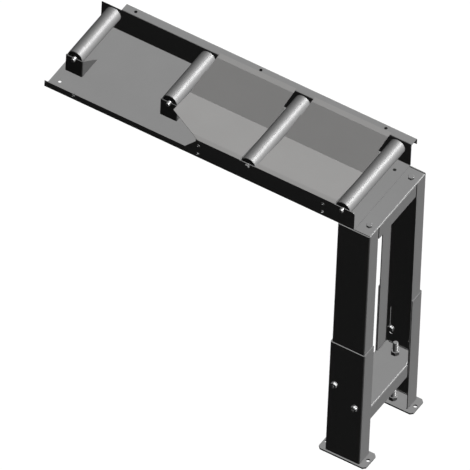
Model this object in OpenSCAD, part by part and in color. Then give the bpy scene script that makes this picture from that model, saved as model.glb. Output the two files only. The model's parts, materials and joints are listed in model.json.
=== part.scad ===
/* [Tray] */
// Height of the tray's underside above the floor
deck_z = 940; // [920:1:980]
// Length of the tray
tray_len = 1046; // [1040:1:1120]
// Width of the tray over its front and back walls
tray_w = 313; // [309:1:320]
// Sheet thickness of the tray
tray_t = 2; // [1.5:0.1:2.5]
// Inside radius of the tray's bends
tray_bend = 2; // [1:0.1:3]
// Height of the front wall at the machine end
front_low_h = 25; // [22:1:32]
// Height of the front wall along the covered part
front_h = 70; // [69:0.5:72]
// Height of the back wall
back_h = 84; // [80:1:88]
// Reach of the back flange past the back wall
flange_w = 31; // [26:1:36]
// Depth of the lip turned down from the back flange
flange_lip = 22; // [14:1:24]
// Length of back wall that has no flange, at the machine end
flange_cope = 66; // [50:1:75]
// Distance from the end of the front wall's rise to the screws behind it
step_before = 3; // [0:0.5:8]
// Length over which the front wall rises
step_run = 40; // [35:1:50]
// Radius of the front wall's top corner at the stand end
corner_r = 8; // [5:0.5:12]

/* [Tray holes] */
// Distance of the end holes from each end of the tray
end_hole_x = 28; // [24:0.5:32]
// Distance of the end holes from the stand's outer faces
end_hole_in = 44.5; // [40:0.5:55]
// Diameter of the end holes at the machine end
end_hole_d = 10; // [8:0.5:12]
// Distance of the first flange hole from the machine end
flange_hole_x = 104; // [90:1:120]
// Distance of the last flange hole from the stand end
flange_hole_end = 97; // [80:1:120]
// Distance of the flange holes from the flange's edge
flange_hole_in = 15; // [11:0.5:17]
// Diameter of the flange holes
flange_hole_d = 10; // [8:0.5:11]
// Distance of the first wall screw from the machine end
wall_screw_x = 97; // [90:1:120]
// Distance of the last wall screws from the stand end
wall_screw_end = 107; // [100:1:120]
// Height of the lower row of wall screws above the tray's underside
wall_screw_low = 17; // [15:0.5:19]
// Distance between the two rows of wall screws
wall_screw_rise = 32; // [28:0.5:36]

/* [Rollers] */
// Distance of the first roller's axis from the machine end
first_roller_x = 44; // [42:0.5:50]
// Distance of the last roller's axis from the stand end
last_roller_end = 42; // [38:0.5:46]
// Height of the roller axes above the tray's underside
axle_z = 62; // [61:0.1:64]
// Outside diameter of the roller tubes
roller_d = 50; // [48:0.1:51]
// Wall thickness of the roller tubes
roller_wall = 3; // [2:0.1:4]
// Gap between a roller tube and the sheet that holds its front axle end
front_gap = 1.6; // [1:0.1:4]
// Gap between a roller tube and the back wall
back_gap = 5.5; // [3:0.1:8]
// Diameter of the axles
axle_d = 12; // [11:0.1:13]
// Distance across the flats at the slotted ends of the axles
axle_flat = 10; // [9:0.1:10.5]
// How far a slotted axle end stands out in front
axle_out = 9; // [6:0.5:12]
// Outside diameter of the ball bearings
bearing_d = 32; // [30:0.5:34]
// Width of the ball bearings
bearing_w = 10; // [8:0.5:12]
// Width of the bearing hubs
hub_w = 12; // [11:0.5:16]
// How deep the hubs sit inside the tube ends
hub_inset = 1; // [0.5:0.1:2]

/* [Roller stands] */
// Distance of the roller stands from the tray's front face
stand_y = 88.5; // [80:0.5:100]
// Width of a roller stand
stand_face_w = 58; // [57:0.5:59]
// Depth of a roller stand's side gussets
gusset_y = 86; // [60:1:100]
// Sheet thickness of the roller stands
stand_t = 2.5; // [2:0.1:2.6]
// Inside radius of the roller stands' bends
stand_bend = 1.5; // [1:0.1:2]
// How far the top of a roller stand lies above the roller axis
stand_rise = 3; // [1:0.1:5]

/* [Drip panels] */
// Sheet thickness of the drip panels
panel_t = 1.5; // [1:0.1:1.6]
// Distance of the panel ends from the roller axes
panel_gap = 27; // [26.5:0.5:28]
// Distance of the back notches' sides from the roller axes
notch_half = 31; // [30:0.5:34]
// Depth of the back notches from the back wall
notch_y = 65; // [55:1:75]
// Width of the panels' front hem
hem_front = 16; // [14:0.5:20]
// Width of the panels' back hem
hem_back = 20; // [18:0.5:24]
// How far the back hem starts inside the back wall
hem_inset = 10; // [8:0.5:12]
// Distance of the valley line from the tray's front face
valley_y = 162; // [155:1:168]
// Height of the valley line above the tray's underside
valley_z = 59; // [56:0.5:65]
// Depth of the lips turned down at the panel ends
panel_lip = 12; // [8:0.5:14]
// Distance from the front face at which the first panel's corner cut starts
corner_cut_y = 70; // [60:1:80]

/* [Panel brackets] */
// Width of the angle brackets that carry the panels
bracket_w = 20; // [16:1:24]
// Reach of the brackets' top leg
bracket_reach = 12; // [10:0.5:14]
// Height of the brackets' lower edge above the tray's underside
bracket_low = 8; // [6:0.5:9]
// Sheet thickness of the brackets
bracket_t = 2; // [1.5:0.1:2.5]

/* [Stand] */
// How far the stand stands out past the tray's front face
stand_front = 4.5; // [3:0.5:7]
// How far the stand stands out past the tray's back face
stand_back = 1.5; // [0.5:0.5:5]
// Depth of the lower legs, along the conveyor
leg_depth = 116; // [114:1:120]
// Width of the lower legs' side flanges
leg_side = 53; // [50:0.5:56]
// Sheet thickness of the legs
leg_t = 3; // [2.5:0.1:3.5]
// Inside radius of the legs' bends
leg_bend = 2; // [1:0.1:3]
// Gap between upper and lower leg along the conveyor
leg_gap_x = 0.75; // [0.5:0.05:1.5]
// Gap between upper and lower leg across the conveyor
leg_gap_y = 0.5; // [0.4:0.05:1]
// Height of the lower legs' top edge above the floor
lower_leg_top = 452; // [430:1:480]
// Height of the upper legs' lower edge above the floor
upper_leg_low = 140; // [130:1:150]
// Sheet thickness of the head channel and the cross shelf
cross_t = 3; // [2.5:0.1:4]
// Depth of the lips of the head channel and the cross shelf
cross_lip = 50; // [30:1:51]
// Gap between the lips of channel and shelf and the leg flanges beside them
lip_gap = 5; // [1:0.5:8]
// Gap between the head channel and the leg webs beside it
head_groove = 2.5; // [0.4:0.1:3.5]
// Height of the cross shelf's top above the floor
shelf_z = 193; // [180:1:195]

/* [Feet] */
// Length of the foot plates, along the conveyor
foot_len = 160; // [156:1:170]
// Width of the foot plates
foot_w = 68; // [66:1:74]
// Thickness of the foot plates
foot_t = 6; // [5:0.5:10]
// How far the foot plates stand out past the legs' webs
foot_out = 5; // [4:0.5:10]
// Corner cut of the foot plates
foot_cut = 8; // [4:0.5:9]
// Distance of the anchor holes from the foot plates' ends
anchor_end = 10; // [9:0.5:12]
// Distance of the anchor holes from the lower legs' webs
anchor_in = 29.5; // [26:0.5:32]
// Diameter of the anchor holes
anchor_d = 12; // [9:0.5:12]

/* [Height adjustment] */
// Diameter of the jack rods
rod_d = 16; // [14:0.5:17]
// Height of the jack rods' top above the floor
rod_top = 238; // [234:1:260]
// Distance of the jack rods from the lower legs' webs
rod_in = 39; // [34:0.5:40]
// Clearance between the jack rods and the shelf, all round
rod_clear = 0.5; // [0.4:0.1:1]
// Running clearance between the jack rods and their nuts, all round
thread_clear = 0.05; // [0.02:0.01:0.1]
// Width across flats of the jack nuts
rod_nut_af = 24; // [23:0.5:27]
// Height of the jack nuts
rod_nut_h = 13; // [12:0.5:14]
// How far the stand can be raised from here
lift_up = 20; // [15:1:22]
// How far the stand can be lowered from here
lift_down = 80; // [60:1:90]

/* [Clamp bolts] */
// Distance of the clamp bolts from the sides of the lower legs
clamp_in = 23; // [20:0.5:26]
// Height of the front leg's bolt on the machine side above the floor
clamp_z_high = 288; // [280:1:300]
// Height of the rear leg's bolt on the machine side above the floor
clamp_z_mid = 252; // [245:1:260]
// Height of the bolts on the outer side above the floor
clamp_z_low = 230; // [229:1:240]
// Diameter of the clamp bolts
clamp_d = 10; // [8:0.5:10]
// Clearance round the clamp bolts in holes and slots
clamp_clear = 0.5; // [0.4:0.1:1]
// Width across flats of the clamp bolts' heads and nuts
clamp_af = 17; // [15:0.5:17]
// Height of the clamp bolts' heads
clamp_head = 6.4; // [5:0.1:8]
// Height of the clamp bolts' nuts
clamp_nut = 8.4; // [7:0.1:9]
// Outside diameter of the clamp washers
clamp_washer_d = 20; // [18:0.5:20]
// Thickness of the clamp washers
clamp_washer_t = 2; // [1.5:0.1:2.5]
// Length of bolt that shows past the clamp nuts
clamp_show = 9; // [3:0.5:12]
// Gap between the washers and the sliding legs
slide_gap = 0.3; // [0.2:0.05:0.5]
// Length of thread that shows past a nut
thread_show = 3; // [2:0.5:5]

/* [Small fasteners] */
// Diameter of the extension bolts in the head channel
ext_bolt_d = 10; // [8:0.5:10]
// Diameter of the screws that hold the tray to the head channel
deck_screw_d = 6; // [5:0.5:6.5]
// Diameter of the flush heads of those screws
deck_head_d = 11; // [9:0.5:12]
// Width across flats of the deck screws' nuts
deck_nut_af = 10; // [8:0.5:11]
// Height of the deck screws' nuts
deck_nut_h = 5; // [4:0.5:6]
// Diameter of the screws in the front wall
wall_screw_d = 5; // [4:0.5:6]
// Diameter of the wall screws' round heads
wall_head_d = 9.5; // [8:0.5:10]
// Height of the wall screws' round heads
wall_head_h = 2.8; // [2:0.1:3.5]
// Width across flats of the wall screws' nuts
wall_nut_af = 8; // [7:0.5:9]
// Height of the wall screws' nuts
wall_nut_h = 4; // [3:0.5:5]
// Diameter of the screws in the axle ends
axle_screw_d = 8; // [6:0.5:8]
// Width across flats of the axle screws' heads
axle_screw_af = 13; // [10:0.5:14]
// Height of the axle screws' heads
axle_screw_head = 5.3; // [4:0.1:6]
// Outside diameter of the washers under the axle screws
axle_washer_d = 17; // [15:0.5:18]
// Thickness of the washers under the axle screws
axle_washer_t = 1.6; // [1:0.1:2]
// How deep the axle screws reach into the axles
axle_screw_in = 16; // [12:0.5:20]
// Clearance round screws in plain holes
hole_clear = 0.3; // [0.2:0.05:0.5]

/* [Hidden] */
$fn = 64;

// Overrun of every cut past the surface that it opens
cut = 1;
// Clearance between a slot and the flats of the axle in it
slot_clear = 0.2;
// Clearance of a thread modelled as a plain shank in its hole
fit = 0.05;
// Number of flange holes, of wall screw places and of rollers
flange_hole_count = 3;
wall_screw_count = 3;
roller_count = 4;
// Depth and width of the seal groove in the bearings' faces
seal_groove = 0.6;
seal_width = 4;
// Chamfer at the ends of the tubes, rods and axles
edge_chamfer = 0.8;
// Clearance of the shelf's ends inside the upper legs
shelf_clear = 0.3;

steel_grey = [0.55, 0.55, 0.55];
dark_grey = [0.16, 0.17, 0.17];
bright_steel = [0.80, 0.80, 0.81];
black_oxide = [0.06, 0.06, 0.06];

stand_w = tray_w + stand_front + stand_back;
stand_mid = stand_w / 2 - stand_front;
hole_rows = [end_hole_in - stand_front, tray_w + stand_back - end_hole_in];
roller_pitch = (tray_len - first_roller_x - last_roller_end) / (roller_count - 1);
wall_screw_pitch = (tray_len - wall_screw_x - wall_screw_end) / (wall_screw_count - 1);
flange_hole_pitch = (tray_len - flange_hole_x - flange_hole_end) / (flange_hole_count - 1);
step_x = wall_screw_x + wall_screw_pitch - step_before - step_run;
clamp_x = leg_depth / 2 - clamp_in;
axle_r = axle_d / 2;
roller_r = roller_d / 2;
back_face = tray_w - tray_t;
roller_end = back_face - back_gap;
stand_top = axle_z + stand_rise;
hem_top = front_h + panel_t;
back_top = back_h + panel_t;
hem_back_y = back_face - hem_inset;
web_out = stand_w / 2;
upper_web_out = web_out - leg_t - leg_gap_y;
upper_web_in = upper_web_out - leg_t;
upper_depth = leg_depth - 2 * leg_t - 2 * leg_gap_x;
upper_side = leg_side - leg_t - leg_gap_y;
flange_tip = web_out - leg_side;
lip_end = flange_tip - lip_gap;
flange_row = tray_w + flange_w - flange_hole_in;
rod_y = web_out - rod_in;
anchor_x = foot_len / 2 - anchor_end;
anchor_y = web_out - anchor_in;
rod_nut_r = rod_d / 2 + thread_clear;
wall_rows = [wall_screw_low, wall_screw_low + wall_screw_rise];

// Distance of a roller's axis from the machine end
function roller_x(i) = first_roller_x + (i - 1) * roller_pitch;
// The first two rollers are short and start at their stands, the others at the front wall
function is_short(i) = i <= 2;
function roller_start(i) = is_short(i) ? stand_y + stand_t + front_gap : tray_t + front_gap;
// Only the third axle ends inside the front wall, the others lie in open slots
function axle_start(i) = is_short(i) ? stand_y - axle_out : i == 3 ? tray_t : -axle_out;
// The part of an axle that has flats: from its front end to just behind the slotted sheet
function flat_end(i) = is_short(i) ? stand_y + stand_t + slot_clear : tray_t + slot_clear;

// From the tray's own corner, at the front of the machine end, to the shared frame
module on_deck() { translate([-tray_len, -stand_mid, deck_z]) children(); }
// An outline drawn across the tray, swept along it from x0 to x1
module along_x(x0, x1) {
    translate([x0, 0, 0]) rotate([90, 0, 90]) linear_extrude(x1 - x0) children();
}
// An outline drawn along the tray, swept across it from y0 to y1
module along_y(y0, y1) {
    translate([0, y1, 0]) rotate([90, 0, 0]) linear_extrude(y1 - y0) children();
}
// A round bar along Y from y0 to y1
module bar_y(r, y0, y1) { translate([0, y0, 0]) rotate([-90, 0, 0]) cylinder(r = r, h = y1 - y0); }
// A hexagon of a given width across flats, for heads and nuts
module hexagon(af, h) { cylinder(d = af / cos(30), h = h, $fn = 6); }
// A quarter of a ring, for the bends of folded sheet
module bend_ring(r_in, t) {
    intersection() {
        difference() {
            circle(r_in + t);
            circle(r_in);
        }
        square(r_in + t);
    }
}
// The section of a folded channel: its web along X, its flanges towards +Y
module channel(w, side, t, r_in) {
    b = r_in + t;
    translate([b - w / 2, 0]) square([w - 2 * b, t]);
    for (s = [0, 1]) mirror([s, 0]) {
        translate([w / 2 - b, b]) rotate(270) bend_ring(r_in, t);
        translate([w / 2 - t, b]) square([t, side - b]);
    }
}
// Runs the children once in front and once behind
module both_sides() { for (s = [0, 1]) mirror([0, s, 0]) children(); }

// Section of the tray: front wall, floor, back wall, flange and lip
module tray_section() {
    b = tray_bend + tray_t;
    translate([0, b]) square([tray_t, front_h - b]);
    translate([b, b]) rotate(180) bend_ring(tray_bend, tray_t);
    translate([b, 0]) square([tray_w - 2 * b, tray_t]);
    translate([tray_w - b, b]) rotate(270) bend_ring(tray_bend, tray_t);
    translate([back_face, b]) square([tray_t, back_h - 2 * b]);
    translate([tray_w + tray_bend, back_h - b]) rotate(90) bend_ring(tray_bend, tray_t);
    translate([tray_w + tray_bend, back_h - tray_t]) square([flange_w - tray_bend - b, tray_t]);
    translate([tray_w + flange_w - b, back_h - b]) bend_ring(tray_bend, tray_t);
    translate([tray_w + flange_w - tray_t, back_h - flange_lip]) square([tray_t, flange_lip - b]);
}
// What is cut off the front wall: the low part and the top corner
module front_wall_cut() {
    polygon([[-cut, front_low_h], [step_x, front_low_h], [step_x + step_run, front_h],
             [step_x + step_run, front_h + cut], [-cut, front_h + cut]]);
    translate([tray_len - corner_r, front_h - corner_r]) difference() {
        square(corner_r + cut);
        circle(corner_r);
    }
}
// The open slot that an axle end drops into
module axle_slot(top) {
    w = axle_flat + 2 * slot_clear;
    translate([-w / 2, axle_z - axle_r - slot_clear]) square([w, top]);
}
// Every place of a wall screw: one at the machine end, two at each bracket
module at_wall_screws() {
    for (i = [0 : wall_screw_count - 1], row = [0, 1]) if (i > 0 || row == 0)
        translate([wall_screw_x + i * wall_screw_pitch, 0, wall_rows[row]]) children();
}
module tray() {
    color(steel_grey) on_deck() difference() {
        along_x(0, tray_len) tray_section();
        along_y(-cut, tray_t + cut) front_wall_cut();
        translate([-cut, tray_w, back_h - flange_lip - cut])
            cube([flange_cope + cut, flange_w + cut, flange_lip + 2 * cut]);
        along_y(-cut, tray_t + cut) translate([roller_x(roller_count), 0]) axle_slot(front_h);
        translate([roller_x(3), 0, axle_z])
            bar_y(axle_screw_d / 2 + hole_clear, -cut, tray_t + cut);
        for (i = [1 : roller_count]) translate([roller_x(i), 0, axle_z])
            bar_y(axle_screw_d / 2 + hole_clear, back_face - cut, tray_w + cut);
        at_wall_screws() bar_y(wall_screw_d / 2 + hole_clear, -cut, tray_t + cut);
        for (y = hole_rows) translate([end_hole_x, y, -cut])
            cylinder(d = end_hole_d, h = tray_t + 2 * cut);
        for (y = hole_rows) translate([tray_len - end_hole_x, y, 0]) {
            translate([0, 0, -cut]) cylinder(d = deck_screw_d + 2 * hole_clear, h = tray_t + 2 * cut);
            cylinder(d1 = deck_screw_d + 2 * hole_clear, d2 = deck_head_d, h = tray_t);
        }
        for (i = [0 : flange_hole_count - 1])
            translate([flange_hole_x + i * flange_hole_pitch, flange_row, back_h - tray_t - cut])
                cylinder(d = flange_hole_d, h = tray_t + 2 * cut);
    }
}

// Plan of a roller stand: its face along X, its gussets towards the back
module roller_stand(i) {
    color(dark_grey) on_deck() translate([roller_x(i), 0, 0]) difference() {
        intersection() {
            translate([0, stand_y, tray_t]) linear_extrude(stand_top - tray_t)
                channel(stand_face_w, gusset_y, stand_t, stand_bend);
            along_x(-stand_face_w, stand_face_w) polygon([
                [stand_y, tray_t], [stand_y + gusset_y, tray_t],
                [stand_y + stand_t, stand_top], [stand_y, stand_top]]);
        }
        along_y(stand_y - cut, stand_y + stand_t + cut) axle_slot(front_h);
    }
}

// Section of a drip panel: hems on both walls and two slopes down to the valley
module panel_section() {
    top = [[0, hem_top], [hem_front, hem_top], [valley_y, valley_z],
           [hem_back_y, back_top], [hem_back_y + hem_back, back_top]];
    low = [for (i = [4 : -1 : 0]) [top[i].x, top[i].y - panel_t]];
    polygon(concat(top, low));
}
// Section of the lip under a panel's end
module panel_lip_section() {
    polygon([[hem_front, hem_top], [valley_y, valley_z], [hem_back_y, back_top],
             [hem_back_y, back_top - panel_lip], [valley_y, valley_z - panel_lip],
             [hem_front, hem_top - panel_lip]]);
}
// A drip panel after roller i, with a back notch at each end
module drip_panel(i) {
    x0 = roller_x(i) + panel_gap;
    x1 = roller_x(i + 1) - panel_gap;
    notch = notch_half - panel_gap;
    first = is_short(i);
    color(steel_grey) on_deck() difference() {
        union() {
            along_x(x0, x1) panel_section();
            along_x(x1 - panel_t, x1) panel_lip_section();
            if (!first) along_x(x0, x0 + panel_t) panel_lip_section();
        }
        for (x = [x0 - cut, x1 - notch])
            translate([x, back_face - notch_y, 0])
                cube([notch + cut, notch_y + hem_back + cut, back_top + cut]);
        if (first) linear_extrude(back_top)
            polygon([[x0 - cut, -cut], [step_x + step_run, -cut], [step_x + step_run, 0],
                     [x0, corner_cut_y], [x0 - cut, corner_cut_y]]);
    }
}
// The angles behind the front wall that carry the panels' front hems
module panel_brackets() {
    color(steel_grey) on_deck() for (i = [1 : wall_screw_count - 1])
        translate([wall_screw_x + i * wall_screw_pitch, 0, 0]) difference() {
            along_x(-bracket_w / 2, bracket_w / 2) {
                translate([tray_t, bracket_low]) square([bracket_t, front_h - bracket_low]);
                translate([tray_t, front_h - bracket_t]) square([bracket_reach, bracket_t]);
            }
            for (z = wall_rows) translate([0, 0, z])
                bar_y(wall_screw_d / 2 + hole_clear, tray_t - cut, tray_t + bracket_t + cut);
        }
}
// A round head in front of the wall and a shank through what it holds
module wall_screw(grip) {
    bar_y(wall_screw_d / 2, 0, grip + wall_nut_h + thread_show);
    intersection() {
        bar_y(wall_head_d / 2, -wall_head_h, 0);
        translate([0, wall_head_d / 2 - wall_head_h, 0]) sphere(d = wall_head_d + wall_head_h);
    }
}
function wall_grip(i) = i == 0 ? tray_t : tray_t + bracket_t;
module wall_screws() {
    color(bright_steel) on_deck() for (i = [0 : wall_screw_count - 1], row = [0, 1])
        if (i > 0 || row == 0)
            translate([wall_screw_x + i * wall_screw_pitch, 0, wall_rows[row]])
                wall_screw(wall_grip(i));
}
module wall_nuts() {
    color(bright_steel) on_deck() for (i = [0 : wall_screw_count - 1], row = [0, 1])
        if (i > 0 || row == 0)
            translate([wall_screw_x + i * wall_screw_pitch, wall_grip(i), wall_rows[row]])
                rotate([-90, 0, 0]) difference() {
                    hexagon(wall_nut_af, wall_nut_h);
                    translate([0, 0, -cut]) cylinder(d = wall_screw_d + 2 * fit, h = wall_nut_h + 2 * cut);
                }
}
// Flush screws through the tray's floor and the head channel, with nuts below
module deck_screws() {
    length = tray_t + cross_t + deck_nut_h + thread_show;
    color(black_oxide) on_deck() for (y = hole_rows) translate([tray_len - end_hole_x, y, 0]) {
        translate([0, 0, tray_t - length]) cylinder(d = deck_screw_d, h = length);
        cylinder(d1 = deck_screw_d, d2 = deck_head_d - 2 * fit, h = tray_t);
    }
}
module deck_nuts() {
    color(bright_steel) on_deck() for (y = hole_rows)
        translate([tray_len - end_hole_x, y, -cross_t - deck_nut_h]) difference() {
            hexagon(deck_nut_af, deck_nut_h);
            translate([0, 0, -cut]) cylinder(d = deck_screw_d + 2 * fit, h = deck_nut_h + 2 * cut);
        }
}

// A fixed axle: flats at a slotted front end, a tapped hole where a screw holds it
module axle(i) {
    y0 = axle_start(i);
    color(bright_steel) on_deck() translate([roller_x(i), 0, axle_z]) difference() {
        bar_y(axle_r, y0, back_face);
        bar_y(axle_screw_d / 2 + fit, back_face - axle_screw_in - cut, back_face + cut);
        if (i == 3) bar_y(axle_screw_d / 2 + fit, y0 - cut, y0 + axle_screw_in + cut);
        else for (s = [0, 1]) mirror([s, 0, 0])
            translate([axle_flat / 2, y0 - cut, -axle_r])
                cube([axle_r, flat_end(i) - y0 + cut, 2 * axle_r]);
    }
}
// A hexagon screw with its washer: its shank towards +Y from the seat at y = 0
module axle_screw() {
    bar_y(axle_screw_d / 2, -axle_washer_t, tray_t + axle_screw_in);
    bar_y(axle_washer_d / 2, -axle_washer_t, 0);
    translate([0, -axle_washer_t - axle_screw_head, 0]) rotate([-90, 0, 0])
        hexagon(axle_screw_af, axle_screw_head);
}
module axle_screws_rear() {
    color(bright_steel) on_deck() for (i = [1 : roller_count])
        translate([roller_x(i), tray_w, axle_z]) mirror([0, 1, 0]) axle_screw();
}
module axle_screw_front() {
    color(bright_steel) on_deck() translate([roller_x(3), 0, axle_z]) axle_screw();
}

// Places its children at both ends of a roller, facing outwards along -Z of the child
module at_roller_ends(i) {
    on_deck() {
        translate([roller_x(i), roller_start(i) + hub_inset, axle_z]) rotate([-90, 0, 0]) children();
        translate([roller_x(i), roller_end - hub_inset, axle_z]) rotate([90, 0, 0]) children();
    }
}
module roller_tube(i) {
    length = roller_end - roller_start(i);
    color(bright_steel) on_deck() translate([roller_x(i), roller_start(i), axle_z])
        rotate([-90, 0, 0]) rotate_extrude() polygon([
            [roller_r - roller_wall, 0], [roller_r - edge_chamfer, 0], [roller_r, edge_chamfer],
            [roller_r, length - edge_chamfer], [roller_r - edge_chamfer, length],
            [roller_r - roller_wall, length]]);
}
// A pressed hub between tube and bearing, with a collar behind the bearing
module bearing_hubs(i) {
    color(dark_grey) at_roller_ends(i) difference() {
        cylinder(r = roller_r - roller_wall, h = hub_w);
        translate([0, 0, -cut]) cylinder(d = bearing_d, h = bearing_w + cut);
        cylinder(r = axle_r + roller_wall, h = hub_w + cut);
    }
}
// A sealed ball bearing with a shallow groove between its rings
module bearings(i) {
    mid = (axle_r + bearing_d / 2) / 2;
    color(black_oxide) at_roller_ends(i) difference() {
        cylinder(d = bearing_d, h = bearing_w);
        translate([0, 0, -cut]) cylinder(r = axle_r + fit, h = bearing_w + 2 * cut);
        translate([0, 0, -cut]) difference() {
            cylinder(r = mid + seal_width / 2, h = cut + seal_groove);
            cylinder(r = mid - seal_width / 2, h = cut + seal_groove);
        }
    }
}

// The clamp bolts of one leg: side -1 is the front leg, side 1 the rear leg
function clamp_places(side) = [[-clamp_x, side < 0 ? clamp_z_high : clamp_z_mid],
                               [clamp_x, clamp_z_low]];
// Runs the children at each clamp bolt of both legs, from the web's outer face inwards
module at_clamps() {
    for (s = [0, 1]) mirror([0, s, 0]) for (p = clamp_places(s == 0 ? -1 : 1))
        translate([p.x, -web_out, p.y]) children();
}
// One lower leg, drawn in front; side says whose clamp holes it gets
module lower_leg(side) {
    color(steel_grey) difference() {
        translate([0, -web_out, foot_t]) linear_extrude(lower_leg_top - foot_t)
            channel(leg_depth, leg_side, leg_t, leg_bend);
        for (p = clamp_places(side)) translate([p.x, 0, p.y])
            bar_y(clamp_d / 2 + clamp_clear, -web_out - cut, leg_t + cut - web_out);
    }
}
// A slot for a clamp bolt, over the whole travel of the stand
module clamp_slot(z) {
    r = clamp_d / 2 + clamp_clear;
    low = z - lift_up - clamp_clear;
    high = z + lift_down + clamp_clear;
    translate([-r, low]) square([2 * r, high - low]);
    for (end = [low, high]) translate([0, end]) circle(r);
}
// One upper leg, drawn in front; its flanges end under the head channel
module upper_leg(side) {
    color(steel_grey) difference() {
        translate([0, -upper_web_out, upper_leg_low]) linear_extrude(deck_z - upper_leg_low)
            channel(upper_depth, upper_side, leg_t, leg_bend);
        translate([-upper_depth, -upper_web_in, deck_z - cross_t])
            cube([2 * upper_depth, upper_side, cross_t + cut]);
        for (p = clamp_places(side)) translate([p.x, 0])
            along_y(-upper_web_out - cut, cut - upper_web_in) clamp_slot(p.y);
    }
}
module foot_plate() {
    x = foot_len / 2;
    y0 = -web_out - foot_out;
    y1 = y0 + foot_w;
    color(steel_grey) difference() {
        linear_extrude(foot_t) polygon([
            [foot_cut - x, y0], [x - foot_cut, y0], [x, y0 + foot_cut], [x, y1 - foot_cut],
            [x - foot_cut, y1], [foot_cut - x, y1], [-x, y1 - foot_cut], [-x, y0 + foot_cut]]);
        for (s = [-1, 1]) translate([s * anchor_x, -anchor_y, -cut])
            cylinder(d = anchor_d, h = foot_t + 2 * cut);
    }
}
// A channel with its web on top at height z, between the tips of the legs' flanges
module cross_channel(z) {
    translate([0, 0, z]) mirror([0, 0, 1]) along_y(-lip_end, lip_end)
        channel(upper_depth, cross_lip, cross_t, leg_bend);
}
// The plate ends without lips that reach from the channel to the legs' webs
module cross_ends(z, w, y1) {
    both_sides() translate([0, 0, z]) mirror([0, 0, 1]) along_y(lip_end, y1) intersection() {
        channel(w, cross_lip, cross_t, leg_bend);
        translate([-w / 2, 0]) square([w, cross_t]);
    }
}
module head_channel() {
    color(steel_grey) difference() {
        union() {
            cross_channel(deck_z);
            cross_ends(deck_z, upper_depth, upper_web_in - head_groove);
        }
        for (y = hole_rows) {
            translate([end_hole_x, y - stand_mid, deck_z - cross_t - cut])
                cylinder(d = ext_bolt_d + 2 * hole_clear, h = cross_t + 2 * cut);
            translate([-end_hole_x, y - stand_mid, deck_z - cross_t - cut])
                cylinder(d = deck_screw_d + 2 * hole_clear, h = cross_t + 2 * cut);
        }
    }
}
module cross_shelf() {
    color(steel_grey) difference() {
        union() {
            cross_channel(shelf_z);
            cross_ends(shelf_z, upper_depth - 2 * leg_t - 2 * shelf_clear, upper_web_in);
        }
        both_sides() translate([0, rod_y, shelf_z - cross_t - cut])
            cylinder(r = rod_d / 2 + rod_clear, h = cross_t + 2 * cut);
    }
}
module jack_rods() {
    color(bright_steel) both_sides() translate([0, rod_y, foot_t]) {
        cylinder(d = rod_d, h = rod_top - foot_t - edge_chamfer);
        translate([0, 0, rod_top - foot_t - edge_chamfer])
            cylinder(d1 = rod_d, d2 = rod_d - 2 * edge_chamfer, h = edge_chamfer);
    }
}
// A pair of nuts on the jack rods, resting at height z
module jack_nuts(z) {
    color(bright_steel) both_sides() translate([0, rod_y, z]) difference() {
        hexagon(rod_nut_af, rod_nut_h);
        translate([0, 0, -cut]) cylinder(r = rod_nut_r, h = rod_nut_h + 2 * cut);
    }
}
// Bolts that wait in the head channel for the next conveyor
module extension_bolts() {
    length = cross_t + clamp_nut + thread_show;
    color(bright_steel) for (y = hole_rows) translate([end_hole_x, y - stand_mid, deck_z]) {
        hexagon(clamp_af, clamp_head);
        translate([0, 0, -length]) cylinder(d = ext_bolt_d, h = length);
    }
}
module extension_nuts() {
    color(bright_steel) for (y = hole_rows)
        translate([end_hole_x, y - stand_mid, deck_z - cross_t - clamp_nut]) difference() {
            hexagon(clamp_af, clamp_nut);
            translate([0, 0, -cut]) cylinder(d = ext_bolt_d + 2 * fit, h = clamp_nut + 2 * cut);
        }
}
// Distance from a lower leg's outer face to the seat of its inner washers
clamp_seat = 2 * leg_t + leg_gap_y + slide_gap;
// Turns a hexagon's axis to Y, with a corner up
module hexagon_y(y) { translate([0, y, 0]) rotate([-90, 30, 0]) children(); }
// The clamp bolts: heads inside the upper legs, threads outside
module clamp_bolts() {
    head_seat = clamp_seat + clamp_washer_t;
    color(bright_steel) at_clamps() {
        bar_y(clamp_d / 2, -clamp_washer_t - clamp_nut - clamp_show, head_seat);
        hexagon_y(head_seat) hexagon(clamp_af, clamp_head);
    }
}
module clamp_washers() {
    color(bright_steel) at_clamps() for (y = [-clamp_washer_t, clamp_seat]) difference() {
        bar_y(clamp_washer_d / 2, y, y + clamp_washer_t);
        bar_y(clamp_d / 2 + hole_clear, y - cut, y + clamp_washer_t + cut);
    }
}
module clamp_nuts() {
    color(bright_steel) at_clamps() hexagon_y(-clamp_washer_t - clamp_nut) difference() {
        hexagon(clamp_af, clamp_nut);
        translate([0, 0, -cut]) cylinder(d = clamp_d + 2 * fit, h = clamp_nut + 2 * cut);
    }
}

lower_leg(-1);  // lower_leg_front
mirror([0, 1, 0]) lower_leg(1);  // lower_leg_rear
foot_plate();  // foot_plate_front
mirror([0, 1, 0]) foot_plate();  // foot_plate_rear
clamp_bolts();
clamp_washers();
clamp_nuts();
jack_rods();
jack_nuts(foot_t);  // jack_base_nuts
upper_leg(-1);  // upper_leg_front
mirror([0, 1, 0]) upper_leg(1);  // upper_leg_rear
head_channel();
cross_shelf();
jack_nuts(shelf_z);  // jack_nuts_upper
jack_nuts(shelf_z - cross_t - rod_nut_h);  // jack_nuts_lower
extension_bolts();
extension_nuts();
tray();
roller_stand(1);  // roller_stand_1
roller_stand(2);  // roller_stand_2
drip_panel(2);  // drip_panel_1
drip_panel(3);  // drip_panel_2
panel_brackets();
wall_screws();
wall_nuts();
deck_screws();
deck_nuts();
axle(1);  // axle_1
axle(2);  // axle_2
axle(3);  // axle_3
axle(4);  // axle_4
axle_screws_rear();
axle_screw_front();
roller_tube(1);  // roller_tube_1
roller_tube(2);  // roller_tube_2
roller_tube(3);  // roller_tube_3
roller_tube(4);  // roller_tube_4
bearing_hubs(1);  // bearing_hubs_1
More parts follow.
